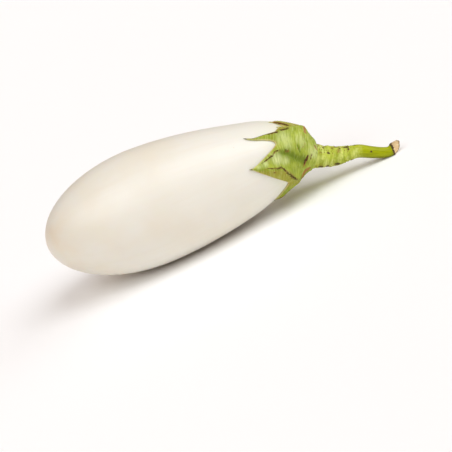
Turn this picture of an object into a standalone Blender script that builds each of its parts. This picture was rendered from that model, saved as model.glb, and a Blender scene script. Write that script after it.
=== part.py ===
# White eggplant, as picked: the fruit lies on its side, with its green calyx and its cut stalk.
# Metres, +Z up. The fruit's axis runs along +X from the blossom end to the stalk, and the origin
# is under the middle of the whole thing, on the surface that it lies on.
import math

import bmesh
import bpy
import numpy as np
from mathutils import Matrix, Vector

# Fruit. Distances run along its axis, from the blossom end unless they say otherwise.
FRUIT_LENGTH = 0.149
BELLY_RADIUS = 0.0325
BELLY_AT = 0.0585
NECK_RADIUS = 0.0198
NECK_BELOW_CROWN = 0.0165
NECK_POWER = 1.8  # how late the sides draw in on their way to the neck
SHOULDER_RUN = 0.0275  # the stretch below the crown where the neck closes
SHOULDER_POWER = 2.4  # 2 is a round shoulder, more is a squarer one
BEND_RUN = 0.0375  # the stretch below the crown where the neck turns down to the stalk
CROWN_TILT = math.radians(30)
CROWN_DROP = 0.0072  # how far the crown's middle is below the axis
REST_FLAT_DEPTH = 0.0003  # how deep the fruit's own weight flattens it where it lies

# Calyx. Reaches run over the fruit's surface from the middle of the crown.
CLEARANCE = 0.0003  # between touching pieces
CAP_THICKNESS = 0.0017
EDGE_THICKNESS = 0.0008
CAP_REACH = 0.0205  # the cap is whole this far out, and then it parts into lobes
RIB_HEIGHT = 0.0013  # how far each lobe's midrib stands out of the cap at its knee
RIB_REACH = 0.0115  # where the knee is
RIB_SPREAD = 0.007
LOBE_POWER = 1.55  # 1 is a straight-sided lobe, more is a slimmer point
LOBES = (  # angle round the axis from the near side over the top, in degrees, then how far beyond
    # the cap's edge the tip reaches, and the notch between this lobe and the next
    (11, 0.0240, 0.0085),
    (58, 0.0220, 0.0035),
    (105, 0.0070, 0.0035),
    (155, 0.0180, 0.0070),
    (204, 0.0205, 0.0080),
    (252, 0.0165, 0.0065),
    (300, 0.0195, 0.0060),
)
SEAT_RADIUS = 0.0066  # the round face that the stalk grows from
SEAT_RISE = 0.0022

# Stalk. Each station is its place from the seat's middle (along the fruit's axis, up and to the
# far side), then half its height and half its width.
STALK_STATIONS = (
    (0.0040, -0.0021, 0.0, 0.0063, 0.0063),
    (0.0105, -0.0046, 0.0, 0.0055, 0.0055),
    (0.0160, -0.0057, 0.0, 0.0047, 0.0047),
    (0.0205, -0.0062, -0.0003, 0.0038, 0.0038),
    (0.0245, -0.0072, -0.0006, 0.0037, 0.0037),
    (0.0300, -0.0103, -0.0010, 0.0033, 0.0032),
    (0.0382, -0.0129, -0.0013, 0.0031, 0.0030),
    (0.0412, -0.0121, -0.0014, 0.0036, 0.0030),
    (0.0432, -0.0112, -0.0012, 0.0037, 0.0018),
    (0.0461, -0.0104, -0.0008, 0.0022, 0.0006),
)

# How finely the round shapes are cut into flat faces.
FRUIT_SIDES = 44
FRUIT_RINGS = 34
LOBE_STEPS = 6  # from a lobe's tip to the notch beside it
CAP_ROWS = 7
LOBE_ROWS = 6
STALK_SIDES = 18
STALK_STEPS = 2  # rings per station


def clear_scene():
    for old in list(bpy.data.objects):
        bpy.data.objects.remove(old, do_unlink=True)


def material(name, color, roughness):
    made = bpy.data.materials.new(name)
    made.use_nodes = True
    shader = made.node_tree.nodes["Principled BSDF"]
    shader.inputs["Base Color"].default_value = (*color, 1.0)
    shader.inputs["Roughness"].default_value = roughness
    shader.inputs["Metallic"].default_value = 0.0
    return made


def fruit_radius(at):
    # Half an ellipse up to the belly, then sides that draw in to the neck and close at the crown.
    if at <= BELLY_AT:
        return BELLY_RADIUS * math.sqrt(max(0.0, 1 - ((BELLY_AT - at) / BELLY_AT) ** 2))
    neck_at = FRUIT_LENGTH - NECK_BELOW_CROWN
    drawn_in = ((at - BELLY_AT) / (neck_at - BELLY_AT)) ** NECK_POWER
    side = BELLY_RADIUS - (BELLY_RADIUS - NECK_RADIUS) * drawn_in
    closed = max(0.0, at - (FRUIT_LENGTH - SHOULDER_RUN)) / SHOULDER_RUN
    return side * max(0.0, 1 - closed**SHOULDER_POWER) ** (1 / SHOULDER_POWER)


def ring_frame(at):
    # The middle of the fruit's ring at this place, and the ring's axis, up and near directions.
    bent = max(0.0, at - (FRUIT_LENGTH - BEND_RUN)) / BEND_RUN
    tilt = CROWN_TILT * bent**1.5
    middle = Vector((at, 0.0, -CROWN_DROP * bent**5))
    forward = Vector((math.cos(tilt), 0.0, -math.sin(tilt)))
    up = Vector((math.sin(tilt), 0.0, math.cos(tilt)))
    return middle, forward, up, Vector((0.0, -1.0, 0.0))


def surface_point(at, angle, proud):
    # A point at this angle round the fruit, standing proud of its skin along the skin's normal.
    step = 0.0002
    middle, forward, up, near = ring_frame(at)
    before = max(0.0, at - step)
    after = min(FRUIT_LENGTH, at + step)
    slope = Vector((after - before, fruit_radius(after) - fruit_radius(before))).normalized()
    outward = near * math.cos(angle) + up * math.sin(angle)
    return middle + outward * (fruit_radius(at) + proud * slope.x) - forward * proud * slope.y


def crown_distances():
    # How far each place along the axis is from the crown's middle, over the skin.
    places = FRUIT_LENGTH * (1 - np.linspace(0, 1, 1500) ** 2)
    radii = np.array([fruit_radius(at) for at in places])
    steps = np.hypot(np.diff(places), np.diff(radii))
    return places, radii, np.concatenate([[0.0], np.cumsum(steps)])


def closed_shape(name, rings, first_tip, last_tip, finish):
    # Bridges one ring of points to the next and closes both ends on a single point.
    shape = bmesh.new()
    loops = [[shape.verts.new(point) for point in ring] for ring in rings]
    count = len(loops[0])
    for low, high in zip(loops, loops[1:]):
        for i in range(count):
            j = (i + 1) % count
            shape.faces.new((low[i], low[j], high[j], high[i]))
    for tip, loop in ((first_tip, loops[0]), (last_tip, loops[-1])):
        end = shape.verts.new(tip)
        for i in range(count):
            shape.faces.new((end, loop[i], loop[(i + 1) % count]))
    bmesh.ops.recalc_face_normals(shape, faces=shape.faces)
    mesh = bpy.data.meshes.new(name)
    shape.to_mesh(mesh)
    shape.free()
    mesh.shade_smooth()
    mesh.set_sharp_from_angle(angle=math.radians(50))
    made = bpy.data.objects.new(name, mesh)
    made.data.materials.append(finish)
    bpy.context.scene.collection.objects.link(made)
    return made


def make_fruit(finish):
    rings = []
    for i in range(1, FRUIT_RINGS):
        at = FRUIT_LENGTH * (1 - math.cos(math.pi * i / FRUIT_RINGS)) / 2
        turns = [2 * math.pi * j / FRUIT_SIDES for j in range(FRUIT_SIDES)]
        rings.append([surface_point(at, turn, 0.0) for turn in turns])
    crown = ring_frame(FRUIT_LENGTH)[0]
    return closed_shape("fruit", rings, Vector((0.0, 0.0, 0.0)), crown, finish)


def lobe_columns():
    # (angle, reach, nearness to the lobe's midrib) all the way round, from each lobe's tip down
    # to the notch beside it and up to the next tip.
    columns = []
    for i, (angle, length, notch) in enumerate(LOBES):
        next_angle, next_length, _ = LOBES[(i + 1) % len(LOBES)]
        half = ((next_angle - angle) % 360) / 2
        for k in range(2 * LOBE_STEPS):
            part = 1 - abs(1 - k / LOBE_STEPS)
            tip = length if k < LOBE_STEPS else next_length
            reach = CAP_REACH + notch + (tip - notch) * (1 - part) ** LOBE_POWER
            columns.append((math.radians(angle + half * k / LOBE_STEPS), reach, 1 - part))
    return columns


def calyx_thickness(reach, margin, near_rib):
    thinned = max(0.0, reach - CAP_REACH) / (margin - CAP_REACH)
    knee = math.exp(-(((reach - RIB_REACH) / RIB_SPREAD) ** 2))
    rib = RIB_HEIGHT * near_rib**2 * knee
    return CAP_THICKNESS + (EDGE_THICKNESS - CAP_THICKNESS) * thinned + rib


def make_calyx(finish):
    places, radii, distances = crown_distances()
    widening = slice(0, int(np.argmax(radii)))
    seat_reach = float(np.interp(SEAT_RADIUS, radii[widening], distances[widening]))
    columns = lobe_columns()

    def ring(part, thick):
        # part is -1 at the crown's middle, 0 at the seat, 1 at the cap's edge, 2 at the lobes' edge.
        points = []
        for angle, margin, near_rib in columns:
            reach = np.interp(part, (-1, 0, 1, 2), (0.0, seat_reach, CAP_REACH, margin))
            at = float(np.interp(reach, distances, places))
            proud = calyx_thickness(reach, margin, near_rib) if thick else 0.0
            points.append(surface_point(at, angle, CLEARANCE + proud))
        return points

    parts = [k / CAP_ROWS for k in range(CAP_ROWS)]
    parts += [1 + k / LOBE_ROWS for k in range(LOBE_ROWS + 1)]
    crown, forward, up, near = ring_frame(FRUIT_LENGTH)
    inner_tip = crown + forward * CLEARANCE
    inner = [ring(part, False) for part in [-0.5, *parts]]
    outer = [ring(part, True) for part in reversed(parts[1:])]
    seat = crown + forward * SEAT_RISE
    collar = [seat + (near * math.cos(a) + up * math.sin(a)) * SEAT_RADIUS for a, _, _ in columns]
    return closed_shape("calyx", [*inner, *outer, collar], inner_tip, seat, finish)


def smooth_path(stations, steps):
    # Catmull-Rom through the stations, which carries their sizes along with their places.
    rows = np.array(stations)
    padded = np.vstack([2 * rows[0] - rows[1], rows, 2 * rows[-1] - rows[-2]])
    made = []
    for i in range(len(rows) - 1):
        a, b, c, d = padded[i : i + 4]
        for t in np.arange(steps) / steps:
            ease = 2 * b + (c - a) * t + (2 * a - 5 * b + 4 * c - d) * t**2
            made.append((ease + (3 * b - a - 3 * c + d) * t**3) / 2)
    return np.array(made + [rows[-1]])


def make_stalk(finish):
    crown, forward, up, near = ring_frame(FRUIT_LENGTH)
    seat = crown + forward * SEAT_RISE
    foot = forward * CLEARANCE
    stations = [(foot.x, foot.z, 0.0, SEAT_RADIUS, SEAT_RADIUS), *STALK_STATIONS]
    path = smooth_path(stations, STALK_STEPS)
    places = [seat + Vector((x, y, z)) for x, z, y in path[:, :3]]
    rings = []
    for i, place in enumerate(places):
        ahead = places[min(i + 1, len(places) - 1)] - places[max(i - 1, 0)]
        if i == 0:
            ahead = forward
        side = Vector((0.0, 0.0, 1.0)).cross(ahead).normalized()
        lift = ahead.normalized().cross(side)
        tall, wide = path[i, 3:]
        turns = [2 * math.pi * j / STALK_SIDES for j in range(STALK_SIDES)]
        rings.append([place + lift * tall * math.sin(a) + side * wide * math.cos(a) for a in turns])
    return closed_shape("stalk", rings, places[0], places[-1], finish)


def centre_of_volume(pieces):
    volume = 0.0
    moment = Vector((0.0, 0.0, 0.0))
    for piece in pieces:
        piece.data.calc_loop_triangles()
        for triangle in piece.data.loop_triangles:
            a, b, c = (piece.data.vertices[i].co for i in triangle.vertices)
            wedge = a.dot(b.cross(c)) / 6
            volume += wedge
            moment += wedge * (a + b + c) / 4
    return moment / volume


def resting_tilt(pieces, stalk):
    # The fruit tips towards its neck until its lowest point is straight below the centre of its
    # volume, or until the stalk touches the surface as well.
    centre = centre_of_volume(pieces)
    places = np.linspace(0, FRUIT_LENGTH, 3000)
    bottom = np.array([-fruit_radius(at) for at in places])
    stalk_points = [vert.co for vert in stalk.data.vertices]
    low, high = -math.radians(20), math.radians(20)
    for _ in range(40):
        tilt = (low + high) / 2
        heights = bottom * math.cos(tilt) - places * math.sin(tilt)
        lowest = int(np.argmin(heights))
        foot = heights[lowest] + REST_FLAT_DEPTH
        stalk_foot = min(point.z * math.cos(tilt) - point.x * math.sin(tilt) for point in stalk_points)
        overhang = centre.x - places[lowest] + (centre.z - bottom[lowest]) * math.tan(tilt)
        if overhang < 0 or stalk_foot < foot:
            high = tilt
        else:
            low = tilt
    return tilt, -foot


def lay_down(fruit, calyx, stalk):
    # Everything hangs on one empty, which holds the fruit as it lies, centred over the origin.
    pieces = [fruit, calyx, stalk]
    tilt, height = resting_tilt(pieces, stalk)
    turn = Matrix.Rotation(tilt, 4, "Y")
    ends = [(turn @ vert.co).x for piece in pieces for vert in piece.data.vertices]
    place = Vector((-(min(ends) + max(ends)) / 2, 0.0, height))
    rest = bpy.data.objects.new("rest_frame", None)
    rest.rotation_euler = (0.0, tilt, 0.0)
    rest.location = place
    bpy.context.scene.collection.objects.link(rest)
    for piece in pieces:
        piece.parent = rest
    flatten_foot(fruit, Matrix.Translation(place) @ turn)


def flatten_foot(fruit, lying):
    # Cuts away what would be below the surface that the fruit lies on.
    floor_point = lying.inverted() @ Vector((0.0, 0.0, 0.0))
    downward = lying.inverted().to_3x3() @ Vector((0.0, 0.0, -1.0))
    shape = bmesh.new()
    shape.from_mesh(fruit.data)
    everything = shape.verts[:] + shape.edges[:] + shape.faces[:]
    cut = bmesh.ops.bisect_plane(
        shape, geom=everything, dist=1e-7, plane_co=floor_point, plane_no=downward, clear_outer=True
    )
    rim = [part for part in cut["geom_cut"] if isinstance(part, bmesh.types.BMEdge)]
    bmesh.ops.edgenet_fill(shape, edges=rim)
    bmesh.ops.recalc_face_normals(shape, faces=shape.faces)
    shape.to_mesh(fruit.data)
    shape.free()


clear_scene()
fruit_piece = make_fruit(material("skin", (0.90, 0.86, 0.76), 0.35))
calyx_piece = make_calyx(material("calyx_green", (0.42, 0.48, 0.12), 0.55))
stalk_piece = make_stalk(material("stalk_green", (0.34, 0.40, 0.06), 0.5))
lay_down(fruit_piece, calyx_piece, stalk_piece)
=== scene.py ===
import math

import bmesh
import bpy
import numpy as np
from mathutils import Matrix, Vector, noise


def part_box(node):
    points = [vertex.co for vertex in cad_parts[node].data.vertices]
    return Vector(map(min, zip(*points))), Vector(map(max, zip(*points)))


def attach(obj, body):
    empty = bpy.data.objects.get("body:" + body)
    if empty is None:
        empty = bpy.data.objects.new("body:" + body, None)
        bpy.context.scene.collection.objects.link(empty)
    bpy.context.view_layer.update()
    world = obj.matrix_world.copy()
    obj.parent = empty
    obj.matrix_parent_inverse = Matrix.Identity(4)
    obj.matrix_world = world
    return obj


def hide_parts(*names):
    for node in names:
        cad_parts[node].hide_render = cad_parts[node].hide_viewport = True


# A white eggplant, as picked, lying on its side. Metres, +Z up, +X towards the stalk.
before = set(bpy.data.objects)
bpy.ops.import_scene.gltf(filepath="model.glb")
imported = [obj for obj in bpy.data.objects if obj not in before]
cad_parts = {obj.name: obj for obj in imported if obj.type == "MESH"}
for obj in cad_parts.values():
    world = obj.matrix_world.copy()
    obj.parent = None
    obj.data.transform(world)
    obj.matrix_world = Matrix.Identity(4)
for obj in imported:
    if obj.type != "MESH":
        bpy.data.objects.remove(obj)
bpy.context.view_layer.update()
print("frame loaded:", ", ".join(sorted(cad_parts)))

millimetre = 0.001  # the tables of places further down are in millimetres


class Field:
    # a node's output, to reckon with like a number
    def __init__(self, socket):
        self.socket = socket
        self.tree = socket.id_data

    def __rsub__(self, other):
        return calc("SUBTRACT", other, self)


def feed(node, values):
    for key, value in values.items():
        if isinstance(value, Field):
            value.tree.links.new(value.socket, node.inputs[key])
        else:
            node.inputs[key].default_value = value


def addNode(tree, kind, values=None, **settings):
    # returns the node's outputs, in the node's order
    node = tree.nodes.new(kind)
    for name, value in settings.items():
        setattr(node, name, value)
    feed(node, values or {})
    return [Field(socket) for socket in node.outputs]


def treeOf(values):
    return next(value.tree for value in values if isinstance(value, Field))


def calc(operation, *values):
    # works in shader trees and in geometry trees
    return addNode(treeOf(values), "ShaderNodeMath", dict(enumerate(values)), operation=operation)[0]


operators = {"add": "ADD", "sub": "SUBTRACT", "mul": "MULTIPLY", "truediv": "DIVIDE", "pow": "POWER"}
for sign, operation in operators.items():
    setattr(Field, f"__{sign}__", lambda first, second, kind=operation: calc(kind, first, second))


def vectorCalc(operation, values):
    return addNode(treeOf(values.values()), "ShaderNodeVectorMath", values, operation=operation)[0]


def between(value, low, high):
    # 0 at low, 1 at high, and eased in between
    values = {"Value": value, "From Min": low, "From Max": high}
    return addNode(value.tree, "ShaderNodeMapRange", values, interpolation_type="SMOOTHSTEP")[0]


def tint(color, other, amount):
    # the first colour, with this amount of the other over it
    return addNode(amount.tree, "ShaderNodeMix", {0: amount, 6: color, 7: other}, data_type="RGBA")[2]


def layered(look, color, coats):
    # the colour, with each coat's named colour laid over it by the coat's amount
    for name, amount in coats:
        color = tint(color, paint(look[name]), amount)
    return color


def grainNoise(vector, scale, detail=3.0, roughness=0.5, distortion=0.0):
    values = {"Vector": vector, "Scale": scale, "Detail": detail, "Roughness": roughness}
    return addNode(vector.tree, "ShaderNodeTexNoise", {**values, "Distortion": distortion})[0]


def stretched(vector, *scale):
    return addNode(vector.tree, "ShaderNodeMapping", {"Vector": vector, "Scale": scale})[0]


def specks(place, scale, size, cloudScale, chosen):
    # small dots, only where a coarser cloud chooses them
    dots = addNode(place.tree, "ShaderNodeTexVoronoi", {"Vector": place, "Scale": scale})[0]
    return (1 - between(dots, *size)) * between(grainNoise(place, cloudScale, 2.0), *chosen)


def mark(tree, name, output=2):
    return addNode(tree, "ShaderNodeAttribute", attribute_name=name)[output]


def grainMark(tree):
    return mark(tree, "grain", 1)


def objectPlace(tree):
    return addNode(tree, "ShaderNodeTexCoord")[3]


def bump(height, distance, strength):
    values = {"Height": height, "Distance": distance, "Strength": strength}
    return addNode(height.tree, "ShaderNodeBump", values)[0]


def paint(color):
    # a colour as a screen shows it, 0 to 255, as the shader wants it
    shown = np.array(color) / 255
    linear = np.where(shown <= 0.04045, shown / 12.92, ((shown + 0.055) / 1.055) ** 2.4)
    return (*linear.tolist(), 1.0)


def newMaterial(name, specular, glow=(0.0, 0.005, (1.0, 0.2, 0.1)), **settings):
    # the glow is how much light goes into the skin, how deep, and how far each colour of it goes
    made = bpy.data.materials.new(name)
    made.use_nodes = True
    shader = made.node_tree.nodes["Principled BSDF"]
    feed(shader, {"Specular IOR Level": specular, **settings})
    feed(shader, dict(zip(("Subsurface Weight", "Subsurface Scale", "Subsurface Radius"), glow)))
    return made, made.node_tree, shader


def smoothStep(value):
    eased = np.clip(value, 0.0, 1.0)
    return eased * eased * (3 - 2 * eased)


def bell(away, width, power=2.0):
    return np.exp(-((away / width) ** power))


def smoothPath(points, steps):
    # Catmull-Rom through the points, and whatever sizes they carry
    rows = np.array(points, float)
    padded = np.vstack([2 * rows[0] - rows[1], rows, 2 * rows[-1] - rows[-2]])
    made = []
    for i in range(len(rows) - 1):
        a, b, c, d = padded[i : i + 4]
        for t in np.arange(steps) / steps:
            ease = 2 * b + (c - a) * t + (2 * a - 5 * b + 4 * c - d) * t**2
            made.append((ease + (3 * b - a - 3 * c + d) * t**3) / 2)
    return np.array(made + [rows[-1]])


def noiseField(x, y, z, seed):
    # one smooth random number, about -1 to 1, for each place
    shift = Vector((seed * 7.3, seed * 3.1, seed * 5.7))
    flat = np.stack([x, y, z], -1).reshape(-1, 3)
    return np.array([noise.noise(Vector(place) + shift) for place in flat]).reshape(x.shape)


def ringNoise(angle, size, length, seed):
    # the same round a tube: a larger size has more lumps in one turn
    return noiseField(np.cos(angle) * size, np.sin(angle) * size, length, seed)


def ringMesh(rings, firstTip, lastTip, marks):
    # one closed skin over rows of points, closed on a single point at each end
    rows, count = rings.shape[:2]
    points = np.vstack([rings.reshape(-1, 3), [firstTip, lastTip]])
    index = np.arange(rows * count).reshape(rows, count)
    after = np.roll(index, -1, axis=1)
    faces = np.stack([index[:-1], after[:-1], after[1:], index[1:]], -1).reshape(-1, 4).tolist()
    faces += [(rows * count, b, a) for a, b in zip(index[0], after[0])]
    faces += [(rows * count + 1, a, b) for a, b in zip(index[-1], after[-1])]
    mesh = bpy.data.meshes.new("rings")
    mesh.from_pydata(points.tolist(), [], faces)
    shape = bmesh.new()
    shape.from_mesh(mesh)
    bmesh.ops.recalc_face_normals(shape, faces=shape.faces)
    shape.to_mesh(mesh)
    shape.free()
    for key, values in marks.items():
        size = 1 if values.ndim == 2 else 3
        flat = values.reshape(-1, size)
        flat = np.vstack([flat, flat[:1], flat[-1:]]).astype(np.float32)
        kind, field = ("FLOAT", "value") if size == 1 else ("FLOAT_VECTOR", "vector")
        mesh.attributes.new(key, kind, "POINT").data.foreach_set(field, flat.ravel())
    mesh.shade_smooth()
    return mesh


def placeObject(name, mesh, material=None):
    made = bpy.data.objects.new(name, mesh)
    bpy.context.scene.collection.objects.link(made)
    if material:
        made.data.materials.append(material)
    return made


def standFor(node, name, mesh, material=None):
    # puts the mesh into the scene as a piece that stands for the node
    piece = placeObject(name, mesh, material)
    mesh.name = name
    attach(piece, "root")
    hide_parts(node)
    return piece


def apart(vector):
    return addNode(vector.tree, "ShaderNodeSeparateXYZ", {0: vector})


def joined(*values):
    return addNode(treeOf(values), "ShaderNodeCombineXYZ", dict(enumerate(values)))[0]


def placeOf(tree):
    return addNode(tree, "GeometryNodeInputPosition")[0]


def worked(geometry, kind, values=None, **settings):
    # a node that takes the geometry in and gives it out again
    values = {"Geometry": geometry, **(values or {})}
    return addNode(geometry.tree, "GeometryNode" + kind, values, **settings)[0]


def keptAbove(geometry):
    # nothing is lower than the surface that it lies on
    x, y, z = apart(placeOf(geometry.tree))
    return worked(geometry, "SetPosition", {"Position": joined(x, y, calc("MAXIMUM", z, 0.0))})


def newTree(name, inputs):
    # returns the tree, its inputs by name and a function that ends it
    kinds = {int: "Int", float: "Float", tuple: "Vector", bpy.types.Material: "Material"}
    tree = bpy.data.node_groups.new(name, "GeometryNodeTree")
    tree.interface.new_socket("Geometry", in_out="INPUT", socket_type="NodeSocketGeometry")
    for label, value in inputs.items():
        kind = "NodeSocket" + kinds[type(value)]
        tree.interface.new_socket(label, in_out="INPUT", socket_type=kind).default_value = value
    tree.interface.new_socket("Geometry", in_out="OUTPUT", socket_type="NodeSocketGeometry")
    given = {socket.name: Field(socket) for socket in tree.nodes.new("NodeGroupInput").outputs}

    def finishTree(geometry):
        real = worked(worked(geometry, "SetShadeSmooth"), "RealizeInstances")
        dressed = worked(real, "SetMaterial", {"Material": given["Material"]})
        feed(tree.nodes.new("NodeGroupOutput"), {0: dressed})

    return tree, given, finishTree


def growMesh(name, source, tree, inputs):
    # runs the tree on the source mesh and keeps what it makes as a plain mesh
    helper = placeObject(name + "_helper", source)
    modifier = helper.modifiers.new("grow", "NODES")
    modifier.node_group = tree
    sockets = {item.name: item.identifier for item in tree.interface.items_tree if item.in_out == "INPUT"}
    for label, value in inputs.items():
        modifier[sockets[label]] = value
    graph = bpy.context.evaluated_depsgraph_get()
    made = bpy.data.meshes.new_from_object(helper.evaluated_get(graph))
    bpy.data.objects.remove(helper)
    print(f"{name}: {len(made.polygons)} faces")
    return made


# The fruit's own rule: a radius at each place along the axis, and a neck that bends down.
fruitShape = {
    "length": 0.149,
    "bellyRadius": 0.0325,
    "bellyAt": 0.0585,
    "neckRadius": 0.0198,
    "neckBelowCrown": 0.0165,
    "neckPower": 1.8,
    "shoulderRun": 0.0275,
    "shoulderPower": 2.4,
    "bendRun": 0.0375,
    "bendPower": 1.5,
    "crownTilt": math.radians(30),
    "crownDrop": 0.0072,
    "dropPower": 5.0,
    "restTilt": math.radians(3.5555),  # how far the neck dips as the fruit lies
    "footDepth": 0.0003,  # how deep its own weight flattens it
}


def fruitRadius(at):
    s = fruitShape
    at = np.asarray(at, float)
    blunt = s["bellyRadius"] * np.sqrt(np.clip(1 - ((s["bellyAt"] - at) / s["bellyAt"]) ** 2, 0, 1))
    toNeck = s["length"] - s["neckBelowCrown"] - s["bellyAt"]
    drawnIn = (np.clip(at - s["bellyAt"], 0, None) / toNeck) ** s["neckPower"]
    side = s["bellyRadius"] - (s["bellyRadius"] - s["neckRadius"]) * drawnIn
    closed = np.clip(at - s["length"] + s["shoulderRun"], 0, None) / s["shoulderRun"]
    closing = np.clip(1 - closed ** s["shoulderPower"], 0, None) ** (1 / s["shoulderPower"])
    return np.where(at <= s["bellyAt"], blunt, side * closing)


def ringFrame(at):
    s = fruitShape
    bent = np.clip(at - s["length"] + s["bendRun"], 0, None) / s["bendRun"]
    tilt = s["crownTilt"] * bent ** s["bendPower"]
    zero = np.zeros_like(tilt)
    middle = np.stack([at, zero, -s["crownDrop"] * bent ** s["dropPower"]], -1)
    forward = np.stack([np.cos(tilt), zero, -np.sin(tilt)], -1)
    up = np.stack([np.sin(tilt), zero, np.cos(tilt)], -1)
    return middle, forward, up


nearSide = np.array([0.0, -1.0, 0.0])


def skinPoint(at, angle, proud):
    # angle 0 is the near side and 90 degrees the top; proud is the height over the skin
    step = 0.0002
    middle, forward, up = ringFrame(at)
    before, after = np.maximum(0, at - step), np.minimum(fruitShape["length"], at + step)
    run, rise = after - before, fruitRadius(after) - fruitRadius(before)
    size = np.hypot(run, rise)
    outward = nearSide * np.cos(angle)[..., None] + up * np.sin(angle)[..., None]
    spread = (fruitRadius(at) + proud * run / size)[..., None]
    return middle + outward * spread - forward * (proud * rise / size)[..., None]


def crownDistances():
    # how far each place along the axis is from the crown's middle, over the skin
    places = fruitShape["length"] * (1 - np.linspace(0, 1, 4000) ** 2)
    radii = fruitRadius(places)
    steps = np.hypot(np.diff(places), np.diff(radii))
    return places, radii, np.concatenate([[0.0], np.cumsum(steps)])


def restPlace():
    # the fruit lies on its belly; the blossom end is where the solid fruit has it
    tilt = fruitShape["restTilt"]
    places = np.linspace(0, fruitShape["length"], 4000)
    reachDown = fruitRadius(places) * math.cos(tilt) + places * math.sin(tilt)
    height = reachDown.max() - fruitShape["footDepth"]
    return Vector((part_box("fruit")[0].x, 0.0, height))


lyingPlace = restPlace()
lyingTurn = np.array(Matrix.Rotation(fruitShape["restTilt"], 3, "Y"))


def lieDown(points):
    # as the fruit lies, and never below the surface
    laid = points @ lyingTurn.T + np.array(lyingPlace)
    laid[..., 2] = np.maximum(laid[..., 2], 0.0)
    return laid


cameraView = {
    "lens": 100.0,
    "sensor": 36.0,
    "distance": 0.6737,
    "elevation": math.radians(22),  # over the fruit's side
    "roll": math.radians(21.8),  # lifts the stalk end
    "aimAlong": 0.0929,  # from the blossom end
    "aimBelow": 0.0252,
}


def cameraAxes():
    axis = lyingTurn @ np.array([1.0, 0, 0])
    over = lyingTurn @ np.array([0, 0, 1.0])
    rise = cameraView["elevation"]
    back = nearSide * math.cos(rise) + over * math.sin(rise)
    above = over * math.cos(rise) - nearSide * math.sin(rise)
    turn = cameraView["roll"]
    right = axis * math.cos(turn) - above * math.sin(turn)
    up = axis * math.sin(turn) + above * math.cos(turn)
    blossomEnd = np.array(lyingPlace)
    aim = blossomEnd + axis * cameraView["aimAlong"] - above * cameraView["aimBelow"]
    return aim, right, up, back


def makeCamera():
    aim, right, up, back = cameraAxes()
    lens = bpy.data.cameras.new("camera")
    lens.lens, lens.sensor_width = cameraView["lens"], cameraView["sensor"]
    lens.clip_start, lens.clip_end = 0.01, 20.0
    camera = bpy.data.objects.new("camera", lens)
    turn = Matrix((right, up, back)).transposed().to_4x4()
    camera.matrix_world = Matrix.Translation(aim + back * cameraView["distance"]) @ turn
    bpy.context.scene.collection.objects.link(camera)
    bpy.context.scene.camera = camera


lamps = {  # where each comes from (right, up and back of the view), then how soft it is
    "key": {"toward": (0.1, 0.8, 0.6), "softness": 42, "power": 1.25, "tint": (0.97, 1.005, 1.045)},
    "left": {"toward": (-0.6, 0.3, 0.75), "softness": 50, "power": 1.5, "tint": (0.975, 1.005, 1.045)},
    "rear": {"toward": (0.6, 0.75, 0.1), "softness": 60, "power": 1.0, "tint": (0.98, 1.005, 1.045)},
}
surround = {
    "color": (1.0, 0.66, 0.42, 1.0),
    "strength": 0.2,
    "floorColor": (255, 255, 255),
    "floorWidth": 6.0,
}


def lightScene():
    aim, right, up, back = cameraAxes()
    for name, lamp in lamps.items():
        light = bpy.data.lights.new(name, "SUN")
        light.angle = math.radians(lamp["softness"])
        light.energy, light.color = lamp["power"], lamp["tint"]
        a, b, c = lamp["toward"]
        toward = Vector(right * a + up * b + back * c).normalized()
        stand = bpy.data.objects.new(name, light)
        stand.location = toward
        stand.rotation_euler = toward.to_track_quat("Z", "Y").to_euler()
        bpy.context.scene.collection.objects.link(stand)
    world = bpy.data.worlds.new("studio")
    world.use_nodes = True
    sky = world.node_tree.nodes["Background"]
    sky.inputs["Color"].default_value = surround["color"]
    sky.inputs["Strength"].default_value = surround["strength"]
    bpy.context.scene.world = world
    bpy.context.scene.view_settings.view_transform = "Standard"


def makeFloor():
    material, tree, shader = newMaterial("pale_floor", 0.0, Roughness=0.7)
    feed(shader, {"Base Color": paint(surround["floorColor"])})
    half = surround["floorWidth"] / 2
    corners = [(-half, -half, 0), (half, -half, 0), (half, half, 0), (-half, half, 0)]
    mesh = bpy.data.meshes.new("floor")
    mesh.from_pydata(corners, [], [(0, 1, 2, 3)])
    placeObject("floor", mesh, material)


makeCamera()
lightScene()
makeFloor()
print("camera, lights and floor are up")


skinLook = {
    "ivory": (235, 232, 221), "cream": (232, 226, 210),
    "cool": (237, 237, 228), "blush": (234, 206, 172),
    "underCap": (230, 231, 204), "corky": (150, 112, 72),
    "speck": (214, 196, 160), "cloudScale": 26.0, "patchScale": 70.0,
    "poreScale": 900.0, "polishScale": 55.0,
    # from and to, as shares of the fruit's length from the blossom end
    "neckShare": (0.55, 0.9), "collarShare": (0.80, 0.93),
    "blushShare": (0.0, 0.16), "scarShare": (0.0, 0.0030),
}
fruitMesh = {
    "rings": 230, "sides": 240, "dentDepth": 0.00035, "dentSize": 24.0,
    "ribDepth": 0.00016, "ribCount": 1.5, "scarRadius": 0.0026,
    "scarDepth": 0.0006,
    "poleRadius": 0.012,  # the dents fade out inside this
}


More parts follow.
